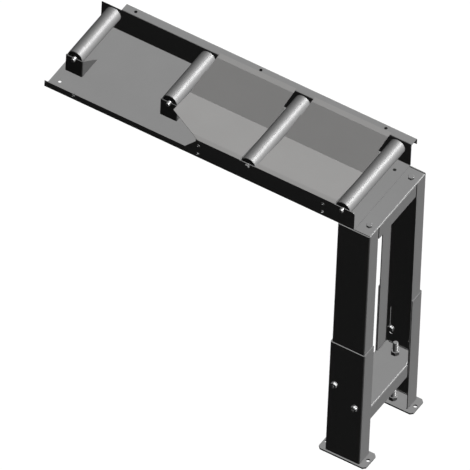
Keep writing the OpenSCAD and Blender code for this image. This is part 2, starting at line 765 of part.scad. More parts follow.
bearing_hubs(2);  // bearing_hubs_2
bearing_hubs(3);  // bearing_hubs_3
bearing_hubs(4);  // bearing_hubs_4
bearings(1);  // bearings_1
bearings(2);  // bearings_2
bearings(3);  // bearings_3
bearings(4);  // bearings_4
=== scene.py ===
"""A roller conveyor on a height-adjustable stand: finishes, threads, fasteners, welds, light and camera."""

import json
import logging
import math
from dataclasses import dataclass, field
from enum import Enum

import bmesh
import bpy
from mathutils import Matrix, Vector

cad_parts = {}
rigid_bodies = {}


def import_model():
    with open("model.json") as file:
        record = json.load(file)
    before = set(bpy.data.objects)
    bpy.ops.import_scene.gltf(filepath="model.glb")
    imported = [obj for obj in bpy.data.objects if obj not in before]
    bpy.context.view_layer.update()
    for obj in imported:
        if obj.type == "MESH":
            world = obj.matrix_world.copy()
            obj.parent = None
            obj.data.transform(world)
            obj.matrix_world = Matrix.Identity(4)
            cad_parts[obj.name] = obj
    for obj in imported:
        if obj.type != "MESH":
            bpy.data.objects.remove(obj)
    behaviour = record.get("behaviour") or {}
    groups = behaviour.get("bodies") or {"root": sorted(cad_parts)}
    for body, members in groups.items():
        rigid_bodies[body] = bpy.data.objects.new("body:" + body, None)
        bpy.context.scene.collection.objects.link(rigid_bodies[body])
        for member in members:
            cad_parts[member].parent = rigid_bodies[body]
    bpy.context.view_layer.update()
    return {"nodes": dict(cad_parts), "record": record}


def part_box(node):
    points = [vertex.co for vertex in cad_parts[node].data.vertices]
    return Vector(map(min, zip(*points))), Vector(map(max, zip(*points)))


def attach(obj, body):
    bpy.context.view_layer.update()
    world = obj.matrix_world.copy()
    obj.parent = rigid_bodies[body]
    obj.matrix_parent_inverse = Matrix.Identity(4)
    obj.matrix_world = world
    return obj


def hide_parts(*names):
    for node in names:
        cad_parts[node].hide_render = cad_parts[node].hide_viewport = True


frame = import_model()
LOG = logging.getLogger("conveyor")
MM = 0.001
MERGE = 0.002 * MM
SMOOTH = math.radians(25.0)
HEXAGON = 6
HALF_SIDE_ANGLE = math.radians(30.0)
CORNER_UP = Matrix.Rotation(HALF_SIDE_ANGLE, 4, "Z")
SORT_DIGITS = 4
Point = tuple[float, float, float]
Colour = tuple[float, float, float, float]
Mark = tuple[bpy.types.NodeSocket, float, Colour]


def turn_to(direction: Vector) -> Matrix:
    """The rotation that takes +Z to a direction."""
    return Vector((0.0, 0.0, 1.0)).rotation_difference(direction).to_matrix().to_4x4()


class Way(Enum):
    """The direction that a fastener's head, a nut, a rod or a seal points in."""

    UP = (0.0, 0.0, 1.0)
    DOWN = (0.0, 0.0, -1.0)
    FRONT = (0.0, -1.0, 0.0)
    BACK = (0.0, 1.0, 0.0)

    @property
    def axis(self) -> int:
        """The number of the axis that it runs along."""
        return next(number for number, share in enumerate(self.value) if share)

    @property
    def sign(self) -> float:
        """1 towards the high end of its axis, -1 towards the low end."""
        return self.value[self.axis]

    @property
    def turn(self) -> Matrix:
        """The rotation that takes +Z to this direction."""
        return turn_to(Vector(self.value))


class Grain(Enum):
    """How the fine marks of a metal surface run, as the noise's scale along X, Y and Z."""

    ROUND_Y = (60.0, 2600.0, 60.0)
    MOTTLED = (240.0, 240.0, 240.0)


class Cut(Enum):
    """What a boolean leaves of a piece: what is outside the tool, or what both share."""

    AWAY = "DIFFERENCE"
    SHARED = "INTERSECT"


@dataclass(frozen=True)
class Noise:
    """The settings of one noise texture."""

    scale: float
    detail: float
    roughness: float
    distortion: float = 0.0


@dataclass(frozen=True)
class Thread:
    """A metric thread, with the hexagon of its nut and the height of its head."""

    diameter: float
    pitch: float
    flats: float
    head: float = 0.0


M5 = Thread(5 * MM, 0.8 * MM, 8 * MM)
M6 = Thread(6 * MM, 1.0 * MM, 10 * MM)
M8 = Thread(8 * MM, 1.25 * MM, 13 * MM, 5.3 * MM)
M10 = Thread(10 * MM, 1.5 * MM, 17 * MM, 6.4 * MM)
M16 = Thread(16 * MM, 2 * MM, 24 * MM)


class NodeBoard:
    """A small helper that adds and joins shader nodes in one node tree."""

    def __init__(self, tree: bpy.types.NodeTree) -> None:
        """Keeps the node tree of a material, the world or a group."""
        self.tree = tree

    def add(self, kind: str, **values: object) -> bpy.types.Node:
        """Adds a node and sets its plain properties and inputs.

        Args:
            kind: The node's type name.
            **values: Properties by name; an input is named in_ and its number or name.

        Returns:
            The new node.
        """
        node = self.tree.nodes.new(kind)
        for name, value in values.items():
            if name.startswith("in_"):
                key = name.removeprefix("in_")
                self.feed(node.inputs[int(key)] if key.isdigit() else node.inputs[key], value)
            else:
                setattr(node, name, value)
        return node

    def feed(self, target: bpy.types.NodeSocket, value: object) -> None:
        """Gives an input a value, or joins it to the output that is given.

        Args:
            target: The input.
            value: A plain value or another node's output.
        """
        if isinstance(value, bpy.types.NodeSocket):
            self.tree.links.new(value, target)
        else:
            target.default_value = value

    def math(self, operation: str, first: object, second: object) -> bpy.types.NodeSocket:
        """Adds a Math node on two numbers or sockets, and returns its output."""
        return self.add("ShaderNodeMath", operation=operation, in_0=first, in_1=second).outputs[0]

    def ramp(self, value: bpy.types.NodeSocket, low: float, high: float,
             out_low: float = 0.0, out_high: float = 1.0) -> bpy.types.NodeSocket:
        """Maps a value smoothly, low to out_low and high to out_high, and returns the result."""
        node = self.add("ShaderNodeMapRange", interpolation_type="SMOOTHSTEP", in_0=value, in_1=low,
                        in_2=high, in_3=out_low, in_4=out_high)
        return node.outputs[0]

    def blend(self, share: object, first: object, second: object) -> bpy.types.NodeSocket:
        """Mixes two colours, with a share of the second, and returns the mix."""
        node = self.add("ShaderNodeMix", data_type="RGBA", in_0=share, in_6=first, in_7=second)
        return node.outputs[2]

    def noise(self, place: bpy.types.NodeSocket, noise: Noise) -> bpy.types.NodeSocket:
        """Adds a noise texture that reads the given coordinates, and returns its output."""
        node = self.add("ShaderNodeTexNoise", in_Vector=place, in_Scale=noise.scale, in_Detail=noise.detail,
                        in_Roughness=noise.roughness, in_Distortion=noise.distortion)
        return node.outputs[0]


class Effects:
    """Shader node groups that several finishes share, each built once."""

    peel = Noise(420.0, 2.0, 0.5)
    clouds = Noise(5.5, 4.0, 0.55)
    rubs = Noise(46.0, 5.0, 0.62)
    drawn = Noise(1.0, 3.0, 0.6)
    splashes = Noise(17.0, 6.0, 0.7, 0.4)
    specks = Noise(160.0, 3.0, 0.6)
    tone_range = (0.3, 0.7)
    rub_range = (0.66, 0.78)
    splash_range = (0.56, 0.74)
    dust_range = (0.42, 0.75)

    def __init__(self) -> None:
        """Builds every group."""
        self.sheet = self._sheet()
        self.lines = self._lines()
        self.grime = self._grime()

    def _group(self, name: str, inputs: tuple[str, ...], outputs: tuple[str, ...]) -> tuple[
            NodeBoard, bpy.types.Node, bpy.types.Node]:
        """Makes an empty group.

        Args:
            name: The group's name.
            inputs: Names of the number inputs, each 1 unless it is set; Vector is always there.
            outputs: Names of the number outputs.

        Returns:
            The group's board, its input node and its output node.
        """
        tree = bpy.data.node_groups.new(name, "ShaderNodeTree")
        tree.interface.new_socket("Vector", in_out="INPUT", socket_type="NodeSocketVector")
        for key in inputs:
            socket = tree.interface.new_socket(key, in_out="INPUT", socket_type="NodeSocketFloat")
            socket.default_value = 1.0
        for key in outputs:
            tree.interface.new_socket(key, in_out="OUTPUT", socket_type="NodeSocketFloat")
        board = NodeBoard(tree)
        return board, board.add("NodeGroupInput"), board.add("NodeGroupOutput")

    def _sheet(self) -> bpy.types.NodeTree:
        """The skin of painted sheet metal: orange peel, cloudy tone and small rubbed spots.

        Returns:
            The group.
        """
        board, into, out = self._group("painted_sheet_skin", ("Peel", "Clouds"), ("Height", "Tone", "Rub"))
        place = into.outputs["Vector"]
        peel = board.math("MULTIPLY", board.noise(place, self.peel), into.outputs["Peel"])
        tone = board.ramp(board.noise(place, self.clouds), *self.tone_range)
        board.feed(out.inputs["Height"], peel)
        board.feed(out.inputs["Tone"], board.math("MULTIPLY", tone, into.outputs["Clouds"]))
        board.feed(out.inputs["Rub"], board.ramp(board.noise(place, self.rubs), *self.rub_range))
        return board.tree

    def _lines(self) -> bpy.types.NodeTree:
        """Fine drawn or turned lines: noise stretched by the scale of each axis.

        Returns:
            The group.
        """
        board, into, out = self._group("drawn_lines", ("X", "Y", "Z"), ("Height", "Tone"))
        stretch = board.add("ShaderNodeCombineXYZ", in_X=into.outputs["X"], in_Y=into.outputs["Y"],
                            in_Z=into.outputs["Z"])
        placed = board.add("ShaderNodeVectorMath", operation="MULTIPLY", in_0=into.outputs["Vector"],
                           in_1=stretch.outputs[0])
        drawn = board.noise(placed.outputs[0], self.drawn)
        board.feed(out.inputs["Height"], drawn)
        board.feed(out.inputs["Tone"], board.ramp(drawn, *self.tone_range))
        return board.tree

    def _grime(self) -> bpy.types.NodeTree:
        """Dried splashes and settled dust, as two masks.

        Returns:
            The group.
        """
        board, into, out = self._group("workshop_grime", ("Amount",), ("Splash", "Dust"))
        for key, noise, limits in (("Splash", self.splashes, self.splash_range),
                                   ("Dust", self.specks, self.dust_range)):
            mask = board.ramp(board.noise(into.outputs["Vector"], noise), *limits)
            board.feed(out.inputs[key], board.math("MULTIPLY", mask, into.outputs["Amount"]))
        return board.tree


def grey(level: float, warm: float = 0.0) -> Colour:
    """The colour of a linear grey level that leans to red over blue by the share warm."""
    return (level * (1.0 + warm), level, level * (1.0 - warm), 1.0)


@dataclass(frozen=True)
class Finish:
    """What every finish has: its tone, its roughness, its dirt and the relief of its skin."""

    name: str
    level: float
    warm: float = 0.0
    dark: float = 0.98
    light: float = 1.02
    roughness: float = 0.36
    rougher: float = 0.0
    smoother: float = 0.1
    grime: float = 0.5
    relief: float = 0.012 * MM
    strength: float = 0.25

    def build(self, effects: Effects) -> bpy.types.Material:
        """Makes the material.

        Args:
            effects: The shared node groups.

        Returns:
            The finished material.
        """
        material = bpy.data.materials.new(self.name)
        material.use_nodes = True
        board = NodeBoard(material.node_tree)
        shader = material.node_tree.nodes["Principled BSDF"]
        place = board.add("ShaderNodeTexCoord").outputs["Object"]
        skin = self.skin(board, effects, place)
        dirt = board.add("ShaderNodeGroup", node_tree=effects.grime, in_Vector=place, in_Amount=self.grime)
        colour = board.blend(skin.outputs["Tone"], grey(self.level * self.dark, self.warm),
                             grey(self.level * self.light, self.warm))
        for mask, share, over in self.marks(skin, dirt):
            colour = board.blend(board.math("MULTIPLY", mask, share), colour, over)
        board.feed(shader.inputs["Base Color"], colour)
        board.feed(shader.inputs["Roughness"], board.ramp(
            self.worn(skin, dirt), 0.0, 1.0, self.roughness + self.rougher, self.roughness - self.smoother))
        bump = board.add("ShaderNodeBump", in_Strength=self.strength, in_Distance=self.relief,
                         in_Height=skin.outputs["Height"])
        board.feed(shader.inputs["Normal"], bump.outputs[0])
        self.polish(shader)
        return material

    def skin(self, board: NodeBoard, effects: Effects, place: bpy.types.NodeSocket) -> bpy.types.Node:
        """The group that gives tone and height: the sheet's skin, unless a finish has its own."""
        return board.add("ShaderNodeGroup", node_tree=effects.sheet, in_Vector=place)

    def marks(self, skin: bpy.types.Node, dirt: bpy.types.Node) -> list[Mark]:
        """What lies over the tone, from the lowest layer up."""
        return []

    def worn(self, skin: bpy.types.Node, dirt: bpy.types.Node) -> bpy.types.NodeSocket:
        """Where the surface is smoother."""
        return skin.outputs["Tone"]

    def polish(self, shader: bpy.types.Node) -> None:
        """Sets what is the same all over; plain finishes keep the shader's own values."""


@dataclass(frozen=True)
class PaintFinish(Finish):
    """Satin paint on folded sheet metal, a little cloudy, rubbed, splashed and dusty."""

    specular: float = 0.75
    rub_share: float = 0.15
    rub_light: float = 1.25
    splash_share: float = 0.07
    splash_dark: float = 0.7
    splash_warm: float = 0.02
    dust_share: float = 0.03
    dust_level: float = 0.42
    dust_warm: float = 0.03

    def marks(self, skin: bpy.types.Node, dirt: bpy.types.Node) -> list[Mark]:
        """Rubbed spots, dried splashes and dust."""
        return [(skin.outputs["Rub"], self.rub_share, grey(self.level * self.rub_light, self.warm)),
                (dirt.outputs["Splash"], self.splash_share,
                 grey(self.level * self.splash_dark, self.splash_warm)),
                (dirt.outputs["Dust"], self.dust_share, grey(self.dust_level, self.dust_warm))]

    def worn(self, skin: bpy.types.Node, dirt: bpy.types.Node) -> bpy.types.NodeSocket:
        """Dried splashes are smoother than the paint."""
        return dirt.outputs["Splash"]

    def polish(self, shader: bpy.types.Node) -> None:
        """Gives the paint its gloss."""
        shader.inputs["Specular IOR Level"].default_value = self.specular


@dataclass(frozen=True)
class MetalFinish(Finish):
    """Bare or plated steel with drawn, turned or mottled marks and dried splashes."""

    dark: float = 0.9
    light: float = 1.06
    rougher: float = 0.06
    smoother: float = 0.04
    grime: float = 0.4
    relief: float = 0.01 * MM
    strength: float = 0.3
    metallic: float = 1.0
    # tint of the reflection at grazing angles; below 1 it is painted shade along the outline
    rim: float = 1.0
    grain: Grain = Grain.MOTTLED
    splash_share: float = 0.25
    splash_dark: float = 0.6
    splash_warm: float = 0.04

    def skin(self, board: NodeBoard, effects: Effects, place: bpy.types.NodeSocket) -> bpy.types.Node:
        """The drawn lines, run as the grain runs."""
        along_x, along_y, along_z = self.grain.value
        return board.add("ShaderNodeGroup", node_tree=effects.lines, in_Vector=place, in_X=along_x,
                         in_Y=along_y, in_Z=along_z)

    def marks(self, skin: bpy.types.Node, dirt: bpy.types.Node) -> list[Mark]:
        """Dried splashes."""
        return [(dirt.outputs["Splash"], self.splash_share,
                 grey(self.level * self.splash_dark, self.splash_warm))]

    def polish(self, shader: bpy.types.Node) -> None:
        """Makes it metal; a rim tint below 1 darkens its reflection at grazing angles, painted shade along
        the outline.
        """
        shader.inputs["Metallic"].default_value = self.metallic
        shader.inputs["Specular Tint"].default_value = grey(self.rim)


@dataclass(frozen=True)
class MouldedFinish(Finish):
    """Dark moulded plastic or rubber, dusty."""

    dark: float = 0.85
    light: float = 1.2
    roughness: float = 0.55
    rougher: float = 0.08
    smoother: float = 0.05
    grime: float = 0.6
    relief: float = 0.02 * MM
    strength: float = 0.4
    dust_share: float = 0.12
    dust_level: float = 0.3
    dust_warm: float = 0.04

    def marks(self, skin: bpy.types.Node, dirt: bpy.types.Node) -> list[Mark]:
        """Dust."""
        return [(dirt.outputs["Dust"], self.dust_share, grey(self.dust_level, self.dust_warm))]


class Finishes:
    """Every finish of the conveyor by the record's slot name."""

    recipes = (
        PaintFinish("frame_paint", 0.25),
        PaintFinish("tray_paint", 0.25, grime=0.8),
        PaintFinish("panel_paint", 0.283, grime=0.6, warm=0.012),
        PaintFinish("stand_paint", 0.125),
        MetalFinish("zinc_fasteners", 0.3, roughness=0.32, metallic=0.2),
        MetalFinish("rod_steel", 0.33, roughness=0.34, metallic=0.2),
        MetalFinish("black_screws", 0.05, roughness=0.5, metallic=0.6),
        MetalFinish("axle_steel", 0.5, roughness=0.34, grain=Grain.ROUND_Y, metallic=0.6),
        # a rim of 0.1 darkens the rollers' reflection at their outline: painted shade
        MetalFinish("roller_steel", 0.44, roughness=0.55, grain=Grain.ROUND_Y, relief=0.004 * MM,
                    metallic=0.75, rim=0.1),
        MouldedFinish("hub_plastic", 0.022),
        MetalFinish("bearing_steel", 0.3, roughness=0.3),
        MouldedFinish("seal_rubber", 0.02, roughness=0.4),
    )

    def __init__(self) -> None:
        """Builds the shared effects and all the materials."""
        effects = Effects()
        self.by_slot = {recipe.name: recipe.build(effects) for recipe in self.recipes}

    def dress(self, piece: bpy.types.Object, slot: str) -> None:
        """Gives a piece one finish all over."""
        piece.data.materials.clear()
        piece.data.materials.append(self.by_slot[slot])

    def dress_cad(self) -> None:
        """Gives every CAD node the finish of its slot in the record."""
        for entry in frame["record"]["subparts"]:
            node = frame["nodes"][entry["node"]]
            for place in node.material_slots:
                place.material = self.by_slot[entry["material_slot"]]
            if not node.material_slots:
                node.data.materials.append(self.by_slot[entry["material_slot"]])
        LOG.info("%d CAD nodes dressed", len(frame["nodes"]))


@dataclass(frozen=True)
class Solid:
    """The box of one separate solid of a CAD node."""

    low: Vector
    high: Vector

    @property
    def middle(self) -> Vector:
        """The box's centre."""
        return (self.low + self.high) / 2

    @property
    def outward(self) -> Way:
        """The way away from the middle of the stand."""
        return Way.FRONT if self.middle.y < 0 else Way.BACK

    @property
    def inward(self) -> Way:
        """The way to the middle of the stand."""
        return Way.BACK if self.middle.y < 0 else Way.FRONT

    def span(self, way: Way) -> float:
        """Its length along a direction's axis."""
        return self.high[way.axis] - self.low[way.axis]

    def start(self, way: Way) -> Vector:
        """Finds where a piece that points a given way begins.

        Args:
            way: The direction.

        Returns:
            The middle of the face on that side.
        """
        place = self.middle
        place[way.axis] = (self.low if way.sign > 0 else self.high)[way.axis]
        return place

    def end(self, way: Way, inset: float = 0.0) -> Vector:
        """Finds a point behind the face that a piece reaches.

        Args:
            way: The direction that the piece points in.
            inset: How far the point lies behind the face.

        Returns:
            The point.
        """
        place = self.middle
        place[way.axis] = (self.high if way.sign > 0 else self.low)[way.axis] - way.sign * inset
        return place


def solids_of(node: str) -> list[Solid]:
    """Finds the separate solids of a CAD node.

    Args:
        node: The node's name.

    Returns:
        One box for each solid, from front to back, then along X, then upwards.
    """
    shape = bmesh.new()
    shape.from_mesh(frame["nodes"][node].data)
    bmesh.ops.remove_doubles(shape, verts=shape.verts, dist=MERGE)
    left = set(shape.verts)
    found = []
    while left:
        ready = [left.pop()]
        island = []
        while ready:
            vert = ready.pop()
            island.append(vert.co.copy())
            for edge in vert.link_edges:
                other = edge.other_vert(vert)
                if other in left:
                    left.remove(other)
                    ready.append(other)
        found.append(Solid(Vector(min(c[k] for c in island) for k in range(3)),
                           Vector(max(c[k] for c in island) for k in range(3))))
    shape.free()
    return sorted(found, key=lambda s: tuple(
        round(v, SORT_DIGITS) for v in (s.middle.y, s.middle.x, s.middle.z)))


def home_of(node: str) -> str:
    """Finds the body that a node moves with."""
    bodies = frame["record"]["behaviour"]["bodies"]
    return next(body for body, nodes in bodies.items() if node in nodes)


def slot_of(node: str) -> str:
    """Finds the record's material slot of a node."""
    return next(e["material_slot"] for e in frame["record"]["subparts"] if e["node"] == node)


@dataclass(frozen=True)
class Bench:
    """The modelling steps that every class shares, and the proportions of heads, nuts and threads."""

    sides: int = 40
    chamfer: float = math.radians(30.0)
    face_share: float = 0.475
    over_share: float = 1.01
    over_length: float = 1.2
    washer_face: float = 0.4 * MM
    sink_share: float = 0.12
    thread_depth: float = 0.6134
    crest_share: float = 1 / 8
    thread_steps: int = 24
    spare_turns: int = 2
    point_share: float = 0.12
    point_narrowing: float = 0.88

    def clear(self) -> None:
        """Deselects everything before a primitive is added."""
        bpy.ops.object.select_all(action="DESELECT")

    def take(self, piece: bpy.types.Object) -> None:
        """Selects one piece alone and makes it active.

        Args:
            piece: The object.
        """
        self.clear()
        piece.select_set(True)
        bpy.context.view_layer.objects.active = piece

    def begin(self, name: str) -> bpy.types.Object:
        """Names the primitive just added, applies its place and opens it, all selected.

        Args:
            name: The piece's name.

        Returns:
            The piece, in edit mode.
        """
        piece = bpy.context.object
        piece.name = name
        bpy.ops.object.transform_apply(location=True, rotation=True, scale=True)
        bpy.ops.object.mode_set(mode="EDIT")
        bpy.ops.mesh.select_all(action="SELECT")
        return piece

    def close(self) -> None:
        """Merges doubles, turns the faces outwards and leaves edit mode."""
        bpy.ops.mesh.select_all(action="SELECT")
        bpy.ops.mesh.remove_doubles(threshold=MERGE)
        bpy.ops.mesh.normals_make_consistent(inside=False)
        bpy.ops.object.mode_set(mode="OBJECT")

    def turned(self, name: str, rings: list[tuple[float, float]], sides: int = 0) -> bpy.types.Object:
        """Turns a closed piece about Z, by extruding a disc and resizing it ring by ring.

        Args:
            name: The piece's name.
            rings: Radius and height of each ring, from the first face to the last.
            sides: Number of faces round the axis, where it isn't the bench's own.

        Returns:
            The turned piece.
        """
        self.clear()
        radius, height = rings[0]
        bpy.ops.mesh.primitive_circle_add(vertices=sides or self.sides, radius=radius, fill_type="NGON",
                                          location=(0.0, 0.0, height))
        piece = self.begin(name)
        for next_radius, next_height in rings[1:]:
            bpy.ops.mesh.extrude_region_move(
                TRANSFORM_OT_translate={"value": (0.0, 0.0, next_height - height)})
            grow = next_radius / radius
            bpy.ops.transform.resize(value=(grow, grow, 1.0), center_override=(0.0, 0.0, next_height))
            radius, height = next_radius, next_height
        self.close()
        return piece

    def disc(self, name: str, radius: float, height: float, rounding: float) -> bpy.types.Object:
        """Makes a disc on z = 0 whose rims are taken off by the rounding."""
        return self.turned(name, [(radius - rounding, 0.0), (radius, rounding), (radius, height - rounding),
                                  (radius - rounding, height)])

    def prism(self, name: str, flats: float, height: float, middle: float,
              turn: float = 0.0) -> bpy.types.Object:
        """Makes a sharp hexagonal prism about Z.

        Args:
            name: The prism's name.
            flats: Width across flats.
            height: Its height.
            middle: Height of its middle.
            turn: Its turn about Z.

        Returns:
            The prism.
        """
        self.clear()
        bpy.ops.mesh.primitive_cylinder_add(vertices=HEXAGON, radius=flats / math.sqrt(3.0), depth=height,
                                            location=(0.0, 0.0, middle), rotation=(0.0, 0.0, turn))
        piece = self.begin(name)
        self.close()
        return piece

    def hexagon(self, name: str, flats: float, height: float, both: bool) -> bpy.types.Object:
        """Makes a hexagon of a head or nut with turned corners.

        Args:
            name: The piece's name.
            flats: Width across flats.
            height: Height above z = 0.
            both: Whether both ends are chamfered; otherwise the lower end has a washer face.

        Returns:
            The hexagon, standing on z = 0.
        """
        corner = flats / math.sqrt(3.0)
        wide = corner * self.over_share
        face = flats * self.face_share
        slope = (corner - face) * math.tan(self.chamfer)
        low = [(face, 0.0), (wide, slope)] if both else [
            (face, 0.0), (face, self.washer_face), (wide, self.washer_face)]
        blank = self.turned(name + "_blank", low + [(wide, height - slope), (face, height)])
        prism = self.prism(name, flats, height * self.over_length, height / 2, HALF_SIDE_ANGLE)
        return self.combine(prism, blank, Cut.SHARED)

    def nut(self, size: Thread, height: float) -> bpy.types.Object:
        """Makes a hexagon nut with a countersunk bore, standing on z = 0.

        Args:
            size: The nut's thread.
            height: Its height.

        Returns:
            The nut.
        """
        bore = size.diameter / 2
        sink = bore * self.sink_share
        drill = self.turned("nut_drill", [
            (bore + 2 * sink, -sink), (bore, sink), (bore, height - sink), (bore + 2 * sink, height + sink)])
        return self.combine(self.hexagon("nut", size.flats, height, both=True), drill, Cut.AWAY)

    def bolt(self, size: Thread, length: float, plain: float) -> bpy.types.Object:
        """Makes a hexagon bolt: its head above z = 0, its shank below.

        Args:
            size: The bolt's thread and head.
            length: Length of the shank.
            plain: Length of shank under the head that has no thread.

        Returns:
            The bolt.
        """
        top = self.hexagon("bolt", size.flats, size.head, both=False)
        shank = self.turned("bolt_shank", [(size.diameter / 2, -plain), (size.diameter / 2, 0.0)])
        return self.join([top, shank, self.thread_below(size, plain, length)], "bolt")

    def thread_below(self, size: Thread, start: float, end: float) -> bpy.types.Object:
        """Makes a thread that runs down from z = 0.

        Args:
            size: The thread.
            start: Depth of its upper end.
            end: Depth of its pointed end.

        Returns:
            The thread.
        """
        thread = self.threaded(size, start, end)
        thread.data.transform(Way.DOWN.turn)
        return thread

    def threaded(self, size: Thread, low: float, high: float) -> bpy.types.Object:
        """Makes a threaded rod with a real helix, flat at the low end and pointed at the high end.

        Args:
            size: The thread.
            low: Height of the low end.
            high: Height of the high end.

        Returns:
            The rod.
        """
        pitch = size.pitch
        crest = size.diameter / 2
        root = crest - pitch * self.thread_depth
        flat = pitch * self.crest_share
        points = ((root, 0.0), (root, flat), (crest, pitch / 2), (crest, pitch / 2 + flat), (root, pitch))
        self.clear()
        bpy.ops.mesh.primitive_plane_add(size=MM, location=(root, 0.0, low - self.spare_turns * pitch))
        piece = self.begin("thread")
        bpy.ops.mesh.merge(type="CENTER")
        for (r0, z0), (r1, z1) in zip(points, points[1:]):
            bpy.ops.mesh.extrude_region_move(TRANSFORM_OT_translate={"value": (r1 - r0, 0.0, z1 - z0)})
        bpy.ops.object.mode_set(mode="OBJECT")
        helix = piece.modifiers.new("helix", "SCREW")
        helix.axis = "Z"
        helix.angle = 2 * math.pi
        helix.screw_offset = pitch
        helix.iterations = math.ceil((high - low) / pitch) + 2 * self.spare_turns
        helix.steps = self.thread_steps
        helix.render_steps = self.thread_steps
        bpy.ops.object.modifier_apply(modifier=helix.name)
        bpy.ops.object.mode_set(mode="EDIT")
        bpy.ops.mesh.select_all(action="SELECT")
        bpy.ops.mesh.remove_doubles(threshold=MERGE)
        point = root * self.point_share
        for level, up in ((low, -1.0), (high - point, 1.0)):
            bpy.ops.mesh.select_all(action="SELECT")
            bpy.ops.mesh.bisect(plane_co=(0.0, 0.0, level), plane_no=(0.0, 0.0, up), use_fill=True,
                                clear_outer=True, threshold=MERGE)
        bpy.ops.mesh.extrude_region_move(TRANSFORM_OT_translate={"value": (0.0, 0.0, point)})
        bpy.ops.transform.resize(value=(self.point_narrowing, self.point_narrowing, 1.0),
                                 center_override=(0.0, 0.0, high))
        self.close()
        return piece

    def combine(self, piece: bpy.types.Object, tool: bpy.types.Object, cut: Cut) -> bpy.types.Object:
        """Cuts a piece with another, or keeps what both share, and deletes the tool.

        Args:
            piece: The piece that stays.
            tool: The other piece.
            cut: What is left.

        Returns:
            The piece.
        """
        self.take(piece)
        change = piece.modifiers.new("cut", "BOOLEAN")
        change.operation = cut.value
        change.solver = "EXACT"
        change.object = tool
        bpy.ops.object.modifier_apply(modifier=change.name)
        bpy.data.objects.remove(tool, do_unlink=True)
        return piece

    def copy(self, template: bpy.types.Object, seat: Vector, way: Way) -> bpy.types.Object:
        """Copies a template with its own mesh, turned and moved in the mesh.

        Args:
            template: The piece modelled once, along +Z.
            seat: Where its origin goes.
            way: Where its +Z points.

        Returns:
            The copy.
        """
        piece = bpy.data.objects.new(template.name, template.data.copy())
        bpy.context.scene.collection.objects.link(piece)
        piece.data.transform(Matrix.Translation(seat) @ way.turn)
        return piece

    def stand(self, template: bpy.types.Object, solids: list[Solid], way: Way) -> list[bpy.types.Object]:
        """Copies a template to where each solid starts."""
        return [self.copy(template, solid.start(way), way) for solid in solids]

    def join(self, pieces: list[bpy.types.Object], name: str) -> bpy.types.Object:
        """Joins pieces into one object.

        Args:
            pieces: The pieces.
            name: The joined object's name.

        Returns:
            The joined object.
        """
        self.clear()
        for piece in pieces:
            piece.select_set(True)
        bpy.context.view_layer.objects.active = pieces[0]
        if len(pieces) > 1:
            bpy.ops.object.join()
        joined = bpy.context.view_layer.objects.active
        joined.name = name
        joined.data.name = name
        return joined


@dataclass
class Maker:
    """What every class of new pieces needs: the finishes and the bench."""

    finishes: Finishes
    bench: Bench = field(default_factory=Bench)

    def put(self, parts: list[bpy.types.Object], node: str, detail: str) -> None:
        """Joins parts into the piece that stands for a CAD node.

        Args:
            parts: The copies, already in place.
            node: The CAD node that the piece replaces.
            detail: What the piece adds, as the end of its name.
        """
        piece = self.bench.join(parts, f"{node}_{detail}")
        self._settle(piece, home_of(node), slot_of(node))
        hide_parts(node)

    def add(self, parts: list[bpy.types.Object], name: str, body: str, slot: str,
            finish: str = "") -> None:
        """Joins parts into a piece of its own on a body, in the slot's finish or in another."""
        self._settle(self.bench.join(parts, name), body, finish or slot)

    def _settle(self, piece: bpy.types.Object, body: str, finish: str) -> None:
        """Shades and dresses a piece, and attaches it to its body.

        Args:
            piece: The object.
            body: The body that it rides on.
            finish: The finish's name.
        """
        self.bench.take(piece)
        bpy.ops.object.shade_smooth_by_angle(angle=SMOOTH)
        self.finishes.dress(piece, finish)
        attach(piece, body)
        LOG.info("%s: %d faces on %s", piece.name, len(piece.data.polygons), body)

    def scrap(self, template: bpy.types.Object) -> None:
        """Deletes a template once its copies are made."""
        bpy.data.objects.remove(template, do_unlink=True)

    def nuts(self, size: Thread, way: Way, nodes: tuple[str, ...], corner_up: bool = False) -> None:
        """Makes the nuts of one thread in place of their nodes.

        Args:
            size: The nuts' thread.
            way: The direction of their axes.
            nodes: The CAD nodes.
            corner_up: Whether a corner of each nut points up.
        """
        nut = self.bench.nut(size, solids_of(nodes[0])[0].span(way))
        if corner_up:
            nut.data.transform(CORNER_UP)
        for node in nodes:
            self.put(self.bench.stand(nut, solids_of(node), way), node, "chamfered")
        self.scrap(nut)


@dataclass
class ClampSet(Maker):
    """The clamp bolts of the height adjustment, with their washers and nuts."""

    size: Thread = M10
    plain: float = 8 * MM
    washer_radius: float = 10 * MM
    washer_height: float = 2 * MM
    bore: float = 5.3 * MM
    rounding: float = 0.3 * MM

    def bolts(self) -> None:
        """The four bolts, their heads inside the legs."""
        solids = solids_of("clamp_bolts")
        bolt = self.bench.bolt(self.size, solids[0].span(Way.BACK) - self.size.head, self.plain)
        bolt.data.transform(CORNER_UP)
        self.put([self.bench.copy(bolt, s.end(s.inward, self.size.head), s.inward) for s in solids],
                 "clamp_bolts", "with_threads")
        self.scrap(bolt)

    def washers(self) -> None:
        """The eight washers, with rounded rims."""
        height = self.washer_height
        disc = self.bench.disc("clamp_washer", self.washer_radius, height, self.rounding)
        drill = self.bench.turned("clamp_washer_drill", [(self.bore, -height), (self.bore, 2 * height)])
        self.bench.combine(disc, drill, Cut.AWAY)
        self.put(self.bench.stand(disc, solids_of("clamp_washers"), Way.BACK), "clamp_washers", "rounded")
        self.scrap(disc)

    def build(self) -> None:
        """Builds the whole set."""
        self.bolts()
        self.washers()
        self.nuts(self.size, Way.BACK, ("clamp_nuts",), corner_up=True)


